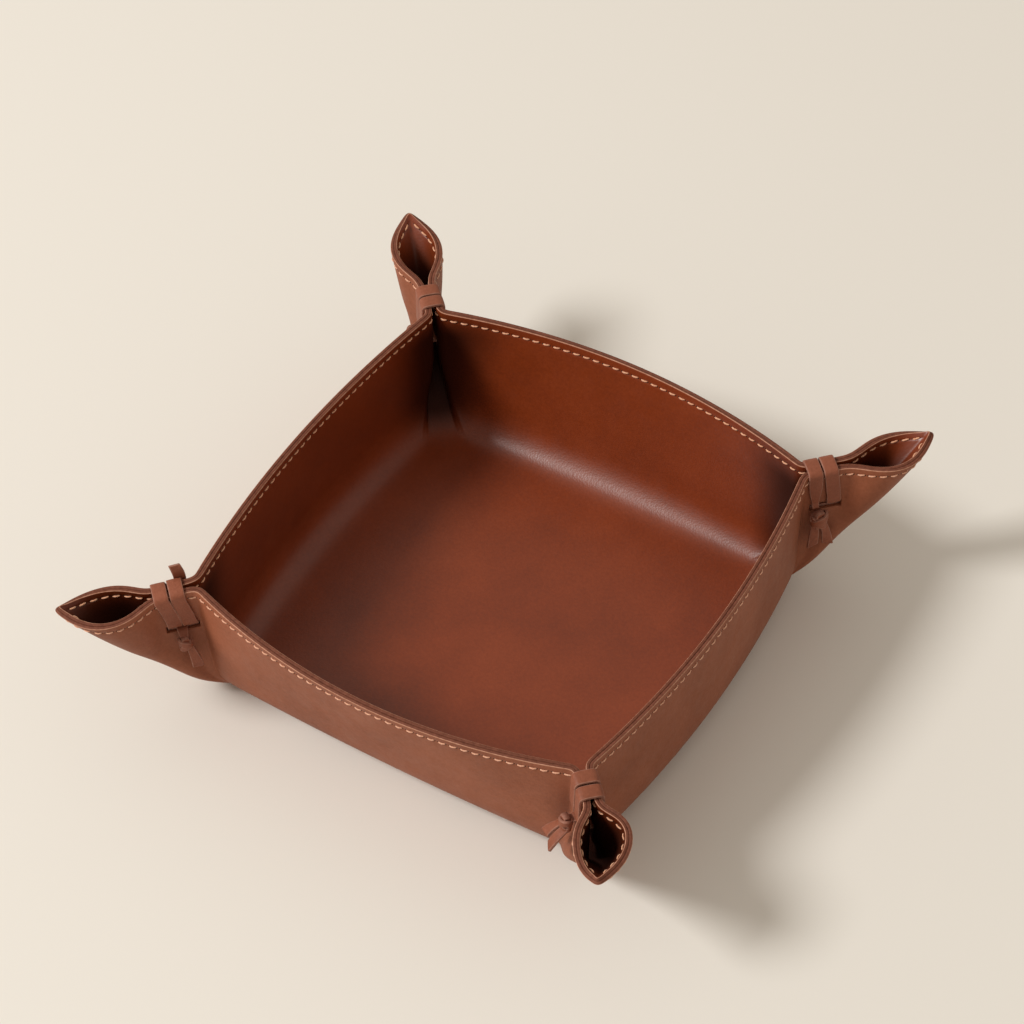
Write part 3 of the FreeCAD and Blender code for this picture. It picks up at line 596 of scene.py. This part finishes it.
# Slots.
def cut_slots(obj):
    """Cut one box through both flaps of each corner."""
    verts, faces = [], []
    for index in range(4):
        a = np.array([-SLOT_END_CLEARANCE, -SLOT_REACH, -SLOT_DEPTH - SLOT_HEIGHT])
        b = np.array([WIDTH + SLOT_END_CLEARANCE, SLOT_REACH, -SLOT_DEPTH])
        box = [[(a, b)[i][0], (a, b)[j][1], (a, b)[k][2]] for i in (0, 1) for j in (0, 1) for k in (0, 1)]
        sides = [(0, 1, 3, 2), (4, 6, 7, 5), (0, 4, 5, 1), (2, 3, 7, 6), (0, 2, 6, 4), (1, 5, 7, 3)]
        faces += [tuple(len(verts) + i for i in side) for side in sides]
        verts += list(to_world(index, box))
    cutter = new_mesh("cutter", verts, faces, LINING_EDGE, smooth=False)
    cut = obj.modifiers.new("slot", "BOOLEAN")
    cut.operation = "DIFFERENCE"
    cut.solver = "EXACT"
    cut.object = cutter
    bpy.context.view_layer.objects.active = obj
    bpy.ops.object.modifier_apply(modifier="slot")
    bpy.data.objects.remove(cutter)


cut_slots(outer_piece)
cut_slots(lining_piece)


# Stitches.
SEAM_SAMPLES, TANGENT_REACH = 1400, 0.3
START_SPREAD, SLANT, SLANT_SPREAD = 0.06, 0.12, 0.03
STITCH_HALF, STITCH_TALL, PLY_RELIEF, PLY_TURNS = 0.31, 0.25, 0.13, 2.6
STITCH_AROUND, STITCH_ALONG, STITCH_SINK, STITCH_ARCH, STITCH_TUCK = 8, 11, 0.30, 0.42, 0.02
HOLE_LONG, HOLE_WIDE, HOLE_SINK, HOLE_RISE, HOLE_AROUND = 0.40, 0.32, 0.125, 0.02, 10


class Seam:
    """The line of stitches along one wall, from one ear's tip to the next, on one skin."""

    def __init__(self, skin, index, sign):
        first = COUNT * (index - 0.5) / 4
        u = np.linspace(first, first + COUNT / 4, SEAM_SAMPLES)
        v = v_at(skin, u, [SEAM_INSET])
        self.points = evaluate(skin, u, v)[:, 0]
        steps = np.linalg.norm(np.diff(self.points, axis=0), axis=1)
        self.run = np.concatenate([[0], np.cumsum(steps)])
        self.length = self.run[-1]
        step = 1e-3
        du = evaluate(skin, u + step, v)[:, 0] - evaluate(skin, u - step, v)[:, 0]
        dv = evaluate(skin, u, v + step)[:, 0] - evaluate(skin, u, v - step)[:, 0]
        normal = np.cross(du, dv)
        normal /= np.linalg.norm(normal, axis=1)[:, None]
        middle = len(u) // 2
        inward = -self.points[middle] * np.array([1, 1, 0])
        self.normal = -normal if np.dot(normal[middle], inward) * sign > 0 else normal

    def read(self, field, s):
        return np.array([np.interp(s, self.run, field[:, c]) for c in range(3)])

    def at(self, s):
        return self.read(self.points, s)

    def axes(self, s):
        """Up from the leather, along the seam and across it."""
        up = self.read(self.normal, s)
        up /= np.linalg.norm(up)
        tangent = self.at(min(s + TANGENT_REACH, self.length)) - self.at(max(s - TANGENT_REACH, 0))
        tangent /= np.linalg.norm(tangent)
        return up, tangent, np.cross(up, tangent)


def stitch(seam, ends, slant):
    """One stitch: two plies laid round each other, with both ends sunk into the leather."""
    verts = []
    for i in range(STITCH_ALONG):
        t = i / (STITCH_ALONG - 1)
        s = ends[0] + (ends[1] - ends[0]) * t
        up, _, across = seam.axes(s)
        arch = math.sin(math.pi * t) ** 0.7
        half, tall = STITCH_HALF * (0.75 + 0.25 * arch), STITCH_TALL
        lift = -STITCH_SINK + STITCH_ARCH * arch
        centre = seam.at(s) + up * lift + across * slant * (t - 0.5) * 2
        for a in range(STITCH_AROUND):
            angle = 2 * math.pi * a / STITCH_AROUND
            ply = 1 + PLY_RELIEF * math.cos(2 * angle + 2 * math.pi * t * PLY_TURNS)
            ring = across * half * ply * math.cos(angle) + up * tall * ply * math.sin(angle)
            verts.append(centre + ring)
    return verts


def stitch_faces(base):
    around, along = STITCH_AROUND, STITCH_ALONG
    faces = []
    for i in range(along - 1):
        for a in range(around):
            p = base + i * around + a
            q = base + i * around + (a + 1) % around
            faces.append((p, q, q + around, p + around))
    faces.append(tuple(base + a for a in range(around))[::-1])
    faces.append(tuple(base + (along - 1) * around + a for a in range(around)))
    return faces


def needle_hole(seam, s):
    """A dark oval of painted shade for the inside of the needle's hole, raised a little in the middle, just
    above the bottom of the seam's dent.
    """
    up, tangent, across = seam.axes(s)
    centre = seam.at(s) - up * HOLE_SINK
    verts = []
    for a in range(HOLE_AROUND):
        angle = 2 * math.pi * a / HOLE_AROUND
        verts.append(centre + (tangent * HOLE_LONG * math.cos(angle) + across * HOLE_WIDE * math.sin(angle)))
    return verts + [centre + up * HOLE_RISE]


def stitches(name, skin, sign, material):
    """All stitches on one skin and the holes of their needle. sign is 1 outside and -1 inside."""
    verts, faces = [], []
    hole_verts, hole_faces = [], []
    for index in range(4):
        seam = Seam(skin, index, sign)
        count = int((seam.length - PITCH * 0.3) / PITCH)
        margin = (seam.length - count * PITCH) / 2
        for number in range(count):
            start = margin + number * PITCH + (PITCH - STITCH) / 2 + RNG.normal(0, START_SPREAD)
            ends = (start + STITCH_TUCK, start + STITCH - STITCH_TUCK)
            slant = SLANT + RNG.normal(0, SLANT_SPREAD)
            faces += stitch_faces(len(verts))
            verts += stitch(seam, ends, slant)
            for s in (ends[0] + STITCH_TUCK, ends[1] - STITCH_TUCK):
                first = len(hole_verts)
                hole_verts += needle_hole(seam, min(max(s, STITCH_TUCK), seam.length - STITCH_TUCK))
                for a in range(HOLE_AROUND):
                    hole_faces.append((first + a, first + (a + 1) % HOLE_AROUND, first + HOLE_AROUND))
    made = new_mesh(name, verts, faces, material)
    holes = new_mesh(name + "_holes", hole_verts, hole_faces, HOLE)
    return made, holes


inside_thread, inside_holes = stitches("inside_stitches", INSIDE, -1, LIGHT_THREAD)
outside_thread, outside_holes = stitches("outside_stitches", OUTSIDE, 1, TAN_THREAD)


# Laces.
CURVE_STEPS = 12
EDGE_RADIUS, CROWN = 0.28, 0.05


def through(points, steps, closed=False):
    """A smooth line through the points, in even steps."""
    points = [np.asarray(p, float) for p in points]
    count = len(points)
    fine = []
    for i in range(count if closed else count - 1):
        if closed:
            p = [points[(i + k) % count] for k in (-1, 0, 1, 2)]
        else:
            p = [points[min(max(i + k, 0), count - 1)] for k in (-1, 0, 1, 2)]
        for j in range(CURVE_STEPS):
            t = j / CURVE_STEPS
            square = 2 * p[0] - 5 * p[1] + 4 * p[2] - p[3]
            cube = 3 * p[1] - p[0] - 3 * p[2] + p[3]
            fine.append(0.5 * (2 * p[1] + (p[2] - p[0]) * t + square * t * t + cube * t ** 3))
    fine.append(points[0] if closed else points[-1])
    fine = np.array(fine)
    run = np.concatenate([[0], np.cumsum(np.linalg.norm(np.diff(fine[:, :3], axis=0), axis=1))])
    at = np.linspace(0, run[-1], steps + 1)
    if closed:
        at = at[:-1]
    return np.stack([np.interp(at, run, fine[:, c]) for c in range(fine.shape[1])], axis=1)


def strip(points, wide, closed=False, thick=STRIP, step=0.45, cut=(0.0, 0.0)):
    """A flat leather strip along points (x, y, z, width, lean). wide is its width direction, turned
    about the line by the lean in degrees. cut slants its two ends."""
    rough = sum(np.linalg.norm(np.subtract(b[:3], a[:3])) for a, b in zip(points, points[1:]))
    steps = max(8, int(rough / step))
    line = through(points, steps, closed)
    count = len(line)
    wide = np.asarray(wide, float)
    flat = (-0.62, -0.2, 0.2, 0.62)
    # Once round the section: faces as (place, side, 0), edges as (side, angle, 1).
    ring = [(x, 1.0, 0) for x in flat] + [(1, a, 1) for a in (90, 55, 20, -20, -55, -90)]
    ring += [(x, -1.0, 0) for x in flat[::-1]] + [(-1, a, 1) for a in (-90, -125, -160, 160, 125, 90)]
    verts, faces, edge = [], [], []
    size_of = len(ring)
    for i in range(count):
        before = line[(i - 1) % count] if closed or i else line[0]
        after = line[(i + 1) % count] if closed or i < count - 1 else line[-1]
        along = after[:3] - before[:3]
        along /= np.linalg.norm(along)
        side = wide - along * np.dot(wide, along)
        side /= np.linalg.norm(side)
        up = np.cross(side, along)
        lean = math.radians(line[i][4])
        side, up = side * math.cos(lean) + up * math.sin(lean), up * math.cos(lean) - side * math.sin(lean)
        half, tall = line[i][3] / 2, thick / 2
        slant = cut[0] * (i < 2) + cut[1] * (i > count - 3)
        for x, z, is_edge in ring:
            if is_edge:
                angle = math.radians(z)
                across = x * (half - EDGE_RADIUS) + EDGE_RADIUS * math.cos(angle)
                high = math.sin(angle) * EDGE_RADIUS + math.copysign(tall - EDGE_RADIUS, math.sin(angle))
            else:
                across = x * (half - EDGE_RADIUS)
                high = z * tall + CROWN * z * (1 - x * x)
            verts.append(line[i][:3] + side * across + up * high + along * across * slant)
    for i in range(count if closed else count - 1):
        for a in range(size_of):
            b = (a + 1) % size_of
            p, q = i * size_of, ((i + 1) % count) * size_of
            faces.append((p + a, p + b, q + b, q + a))
            edge.append(1 if ring[a][2] and ring[b][2] and ring[a][0] == ring[b][0] else 0)
    if not closed:
        faces.append(tuple(range(size_of))[::-1])
        faces.append(tuple((count - 1) * size_of + a for a in range(size_of)))
        edge += [1, 1]
    return verts, faces, edge


def join(parts):
    verts, faces, edge = [], [], []
    for v, f, e in parts:
        start = len(verts)
        verts += list(v)
        faces += [tuple(start + i for i in face) for face in f]
        edge += list(e)
    return verts, faces, edge


NECK_ACROSS, NECK_DOWN, NECK_LOWEST = 521, 120, 0.25


class Neck:
    """The two flaps of one corner, seen in the corner's own frame."""

    def __init__(self, index):
        first = COUNT * (index + 0.5) / 4
        u = first + np.linspace(-NECK_COLUMNS - 1, NECK_COLUMNS + 1, NECK_ACROSS)
        middle = NECK_ACROSS // 2
        v = np.linspace(NECK_LOWEST, 1.0, NECK_DOWN)
        points = evaluate(OUTSIDE, u, np.tile(v, (len(u), 1)))
        frame_here = FRAMES[index]
        local = (points - frame_here[:3, 3]) @ frame_here[:3, :3]
        self.rim = local[:, -1]
        self.flaps = {}
        for sign in (-1, 1):
            first_side = np.mean(local[middle - 60:middle - 5, -1, 1])
            near = local[:middle] if first_side * sign > 0 else local[middle + 1:]
            self.flaps[sign] = near.reshape(-1, 3)

    def half(self, x, z, sign):
        """How far a flap's outer face is from the middle at x and z."""
        flap = self.flaps[sign]
        away = (flap[:, 0] - x) ** 2 + (flap[:, 2] - z) ** 2
        best = np.argsort(away)[:4]
        return float(np.mean(np.abs(flap[best, 1])))

    def top(self, x):
        """The rim's height at x."""
        close = np.argsort(np.abs(self.rim[:, 0] - x) + 5 * (np.abs(self.rim[:, 1]) > NECK_HALF_MAX))[:6]
        return float(np.max(self.rim[close, 2]))


NECKS = [Neck(index) for index in range(4)]
SNUG = LACE_CLEARANCE + STRIP / 2
# Over the rims: the share of the half width, and how far below the top.
RIM_ARC = ((0.985, -1.15), (0.86, -0.42), (0.55, -0.06))


def wrap_line(index, top, far, near, reach=1.0, width=STRAND):
    """Points of a turn from its far foot over the rims to its near foot.
    top is x over the rims; far and near are rows of (x, z, width) going down."""
    neck, side = NECKS[index], KNOT_SIDE[index]
    points = []
    for x, z, wide in far[::-1]:
        points.append((x, -side * (neck.half(x, z, -side) + SNUG), z, wide, 0))
    height = neck.top(top) + SNUG
    out = {s: neck.half(top, -1.5, s) + SNUG for s in (-1, 1)}
    for sign in (-side, side):
        row = [(top, sign * out[sign] * share, height + drop, width, 0) for share, drop in RIM_ARC]
        points += row if sign == -side else [(top, 0, height, width, 0)] + row[::-1]
    for x, z, wide in near:
        points.append((x, side * (neck.half(x, z, side) + SNUG * reach), z, wide, 0))
    return points


ACROSS, UPWARD = np.array([1.0, 0.0, 0.0]), np.array([0.0, 0.0, 1.0])


def foot(index, x, sign, width):
    """The turn's way into the slot, from the flap's face to the middle."""
    neck = NECKS[index]
    face = neck.half(x, -14.0, sign) + SNUG
    return [(x, sign * (face - 0.25), -14.25, width, 0), (x, sign * (face - 1.3), -15.2, width, 0),
            (x, 0, -15.5, width, 0)]


# Each band of a knot: its two radii, tilt in degrees, height and width.
KNOT_BANDS = ((2.25, 1.75, 30.0, 0.55, 3.0), (2.0, 1.5, -34.0, -0.75, 2.7))
BAND_POINTS, BAND_PINCH, BAND_THICK = 12, 0.22, STRIP * 0.85
# Down the gathered core: height and width.
KNOT_CORE, CORE_THICK = ((3.2, 2.6), (1.6, 3.1), (0, 3.3), (-1.6, 3.1), (-2.9, 2.6)), 2.1


def knot(centre, side, scale):
    """A flat lace drawn up into a small knot: two crossed bands round the gathered strips."""
    centre = np.asarray(centre, float)
    parts = []
    for wide_radius, deep_radius, tilt, lift, width in KNOT_BANDS:
        line = []
        for a in range(BAND_POINTS):
            angle = 2 * math.pi * a / BAND_POINTS
            x = wide_radius * math.cos(angle) * scale
            y = deep_radius * math.sin(angle) * scale
            z = lift * scale + x * math.tan(math.radians(tilt)) * (1.0 if y * side > -0.5 else 0.35)
            pinch = 1 - BAND_PINCH * abs(math.cos(angle))
            line.append(tuple(centre + np.array([x, y, z])) + (width * scale * pinch, 0))
        parts.append(strip(line, UPWARD, closed=True, thick=BAND_THICK, step=0.35))
    core = []
    for z, width in KNOT_CORE:
        core.append(tuple(centre + np.array([0.0, side * 0.15, z * scale])) + (width * scale, 0))
    parts.append(strip(core, np.array([1.0, 0.25, 0.0]), thick=CORE_THICK * scale, step=0.5))
    return parts


# Down the faces: the share of the way from the place at the rim to that at the slot, and the height.
FAR_FACE = ((0.3, -3.0), (0.6, -6.5), (1.0, -10.0), (1.0, -12.9))
NEAR_FACE = ((0.25, -3.0), (0.55, -6.5), (0.85, -10.0), (1.0, -12.9))
# The turn that runs into the back right knot narrows: share, height and share of the width.
INTO_KNOT = ((0.12, -3.0, 1.0), (0.42, -6.5, 0.93), (0.78, -10.2, 0.7), (1.0, -13.0, 0.52))


def lace_turns(index):
    """The two turns of one lace and its way through the slots, in the corner's frame."""
    side = KNOT_SIDE[index]
    corner = CORNERS[index]
    parts = []
    shift = LACE_TOP_SHIFT[corner]
    for number in range(2):
        x = STRAND / 2 + number * (STRAND + STRAND_GAP)
        top = x + shift
        far = [(top + (x - top) * part, z, STRAND) for part, z in FAR_FACE]
        if corner == "back_right" and number == 0:
            foot_x = WIDTH / 2 + KNOT_SHIFT[corner] - 0.75
            near = [(top + (foot_x - top) * part, z, STRAND * wide) for part, z, wide in INTO_KNOT]
            line = wrap_line(index, top, far, near)
            line.append((foot_x, line[-1][1] + side * 0.9, -14.8, 2.3, 0))
            line = foot(index, x, -side, STRAND)[::-1] + line
        else:
            slide = 0.5 * (1 - number) if corner == "front_left" else 0.0
            near = [(top + (x - top) * part + slide, z, STRAND) for part, z in NEAR_FACE]
            lifted = 1.0 + 0.35 * number if corner == "front_left" else 1.0
            line = wrap_line(index, top, far, near, lifted)
            line = foot(index, x, -side, STRAND)[::-1][1:] + line + foot(index, x, side, STRAND)
        parts.append(strip(line, ACROSS))
    # The lace's way through the lower half of the slots.
    low = -SLOT_DEPTH - SLOT_HEIGHT + STRIP / 2 + 0.15
    inside = [sign * (NECKS[index].half(WIDTH / 2, low, sign) - 0.9) for sign in (-1, 1)]
    parts.append(strip([(WIDTH / 2, y, low, WIDTH, 0) for y in inside], ACROSS))
    return parts


def stem(index, x, side, depth):
    """From the slot out to the knot."""
    face = NECKS[index].half(x, -15.5, side) + SNUG
    line = [(x, side * (face - 2.4), -16.1, 3.6, 0), (x, side * (face + 0.2), -16.4, 3.5, 0),
            (x, side * (face + 1.2), -16.9, 3.1, 0), (x, side * KNOT_AWAY, -depth + 1.5, 2.6, 0)]
    return strip(line, ACROSS)


def standing_end(index, side):
    """The end that stands up over the turns on the side away from the knot."""
    neck = NECKS[index]
    x = 2.4
    over = SNUG + 0.2 + STRIP
    line = [(x + 0.4, -side * (neck.half(x, z, -side) + over), z, 4.0, 0) for z in (-9, -6, -3)]
    top = neck.top(x)
    line += [(x + 0.5, -side * 4.6, top + 0.5, 4.0, 0), (x + 0.8, -side * 4.5, top + 2.6, 3.9, -8),
             (x + 1.4, -side * 5.2, top + 4.9, 3.6, -14)]
    return strip(line, ACROSS, cut=(0, 0.35))


def tied_lace(index):
    """All of one lace but its hanging ends."""
    side, corner = KNOT_SIDE[index], CORNERS[index]
    x, depth = WIDTH / 2 + KNOT_SHIFT[corner], KNOT_DEPTHS[corner]
    parts = lace_turns(index)
    parts += knot((x, side * KNOT_AWAY, -depth), side, KNOT_SCALE[corner])
    if corner != "back_right":
        parts.append(stem(index, x, side, depth))
    if corner == "front_left":
        parts.append(standing_end(index, side))
    return join(parts)


def lace_piece(name, index, shape):
    verts, faces, edge = shape
    return new_mesh(name, to_world(index, verts), faces, [LACE_LEATHER, LACE_EDGE], edge)


lace_pieces = [lace_piece(corner + "_tied_lace", index, tied_lace(index))
               for index, corner in enumerate(CORNERS)]


# Free ends. How far one is shifted from the knot's middle and raised into it, how it curls, and how
# it is turned about its length, from root to tip, in degrees.
END_SHIFT, END_TUCK, END_CURL, END_TURN = 1.2, 0.8, 0.5, (24, -10)
END_STEPS = 5


def tail(index, number):
    """One hanging end, from inside its knot."""
    corner = CORNERS[index]
    side = KNOT_SIDE[index]
    shift = 1 if number == 2 else -1
    x = WIDTH / 2 + KNOT_SHIFT[corner] + shift * END_SHIFT
    y = side * (KNOT_AWAY + 0.1)
    z = -KNOT_DEPTHS[corner] - 2.3
    lift = math.radians(END_LIFT[corner])
    spread = math.radians(END_SPREAD) * shift
    line = []
    for part in range(END_STEPS + 1):
        t = part / END_STEPS
        run = END_LENGTH * t
        curl = END_CURL * math.sin(math.pi * t)
        line.append((x + math.sin(spread) * run + shift * curl * 0.4,
                     y + side * (math.sin(lift) * run + curl),
                     z + END_TUCK - math.cos(lift) * run,
                     END_ROOT + (END_TIP - END_ROOT) * t,
                     shift * (END_TURN[0] + (END_TURN[1] - END_TURN[0]) * t)))
    return strip(line, ACROSS, cut=(0, 0.25 * shift))


tail_pieces = {}
for index, corner in enumerate(CORNERS):
    for number in (1, 2):
        name = "%s_lace_end_%d" % (corner, number)
        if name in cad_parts:
            tail_pieces[name] = lace_piece(name + "_strip", index, tail(index, number))

# What each piece rides on and stands for.
on_tray = (outer_piece, lining_piece, inside_thread, inside_holes, outside_thread, outside_holes)
for obj in (*on_tray, *lace_pieces):
    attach(obj, "tray")
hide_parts("outer_panel")
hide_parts("lining_panel")
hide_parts("seam_thread_inside")
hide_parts("seam_thread_outside")
for corner, obj in zip(CORNERS, lace_pieces):
    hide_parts(corner + "_lace")
for name, obj in tail_pieces.items():
    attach(obj, name)
    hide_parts(name)


# Floor, light and camera, in metres.
TABLE_HALF, TABLE_DROP, TABLE_COLOUR, TABLE_ROUGHNESS = 3, 0.0001, (0.79, 0.75, 0.69, 1), 0.9
LAMP_PLACE, LAMP_AIM, LAMP_SIZE = (-1.74, -1.46, 1.97), (0, 0, 0.02), 0.85
LAMP_WATTS, LAMP_COLOUR = 69, (1.0, 0.998, 0.982)
WORLD_COLOUR, WORLD_STRENGTH = (1.0, 0.92, 0.81, 1), 0.54
YAW, PITCH_DOWN, ROLL = math.radians(-31.6), math.radians(48.0), math.radians(0.4)
# Where the point at AIM_HEIGHT (millimetres) lies in the camera's axes, in widths of the floor.
AIM_IN_CAMERA, AIM_HEIGHT = np.array([-0.017, 0.037, 7.827]), 48
FOCAL_PIXELS, PICTURE_PIXELS, SENSOR = 3500, 1024, 36


def stage_floor():
    mesh = bpy.data.meshes.new("table")
    far = TABLE_HALF
    mesh.from_pydata([(-far, -far, 0), (far, -far, 0), (far, far, 0), (-far, far, 0)], [], [(0, 1, 2, 3)])
    obj = bpy.data.objects.new("table", mesh)
    bpy.context.scene.collection.objects.link(obj)
    material = bpy.data.materials.new("table")
    shader = nodes_of(material)[1]
    shader.inputs["Base Color"].default_value = TABLE_COLOUR
    shader.inputs["Roughness"].default_value = TABLE_ROUGHNESS
    mesh.materials.append(material)
    obj.location.z = -TABLE_DROP


stage_floor()


def area_light(name, place, target, size_m, power, colour):
    data = bpy.data.lights.new(name, "AREA")
    data.shape = "DISK"
    data.size = size_m
    data.energy = power
    data.color = colour
    obj = bpy.data.objects.new(name, data)
    obj.location = place
    direction = Vector(target) - Vector(place)
    obj.rotation_euler = direction.to_track_quat("-Z", "Y").to_euler()
    bpy.context.scene.collection.objects.link(obj)


def set_world():
    world = bpy.data.worlds.new("studio")
    bpy.context.scene.world = world
    world.use_nodes = True
    background = world.node_tree.nodes["Background"]
    background.inputs[0].default_value = WORLD_COLOUR
    background.inputs[1].default_value = WORLD_STRENGTH


def set_camera():
    """The camera's place and lens as they were fitted to the photograph."""
    level = math.cos(PITCH_DOWN)
    forward = np.array([math.sin(YAW) * level, math.cos(YAW) * level, -math.sin(PITCH_DOWN)])
    right = np.array([math.cos(YAW), -math.sin(YAW), 0.0])
    down = np.cross(forward, right)
    right, down = (math.cos(ROLL) * right + math.sin(ROLL) * down,
                   -math.sin(ROLL) * right + math.cos(ROLL) * down)
    axes = np.array([right, down, forward])
    spot = (-axes.T @ AIM_IN_CAMERA) * 2 * FLOOR_HALF + np.array([0, 0, AIM_HEIGHT + OUTER])
    data = bpy.data.cameras.new("camera")
    data.lens = FOCAL_PIXELS / PICTURE_PIXELS * SENSOR
    data.sensor_width = SENSOR
    data.clip_start = 0.01
    camera = bpy.data.objects.new("camera", data)
    pose = Matrix.Identity(4)
    for row in range(3):
        for column, value in enumerate((right[row], -down[row], -forward[row], spot[row] * MM)):
            pose[row][column] = value
    camera.matrix_world = pose
    bpy.context.scene.collection.objects.link(camera)
    bpy.context.scene.camera = camera


area_light("window", LAMP_PLACE, LAMP_AIM, LAMP_SIZE, LAMP_WATTS, LAMP_COLOUR)
set_world()
set_camera()
bpy.context.scene.view_settings.view_transform = "Standard"
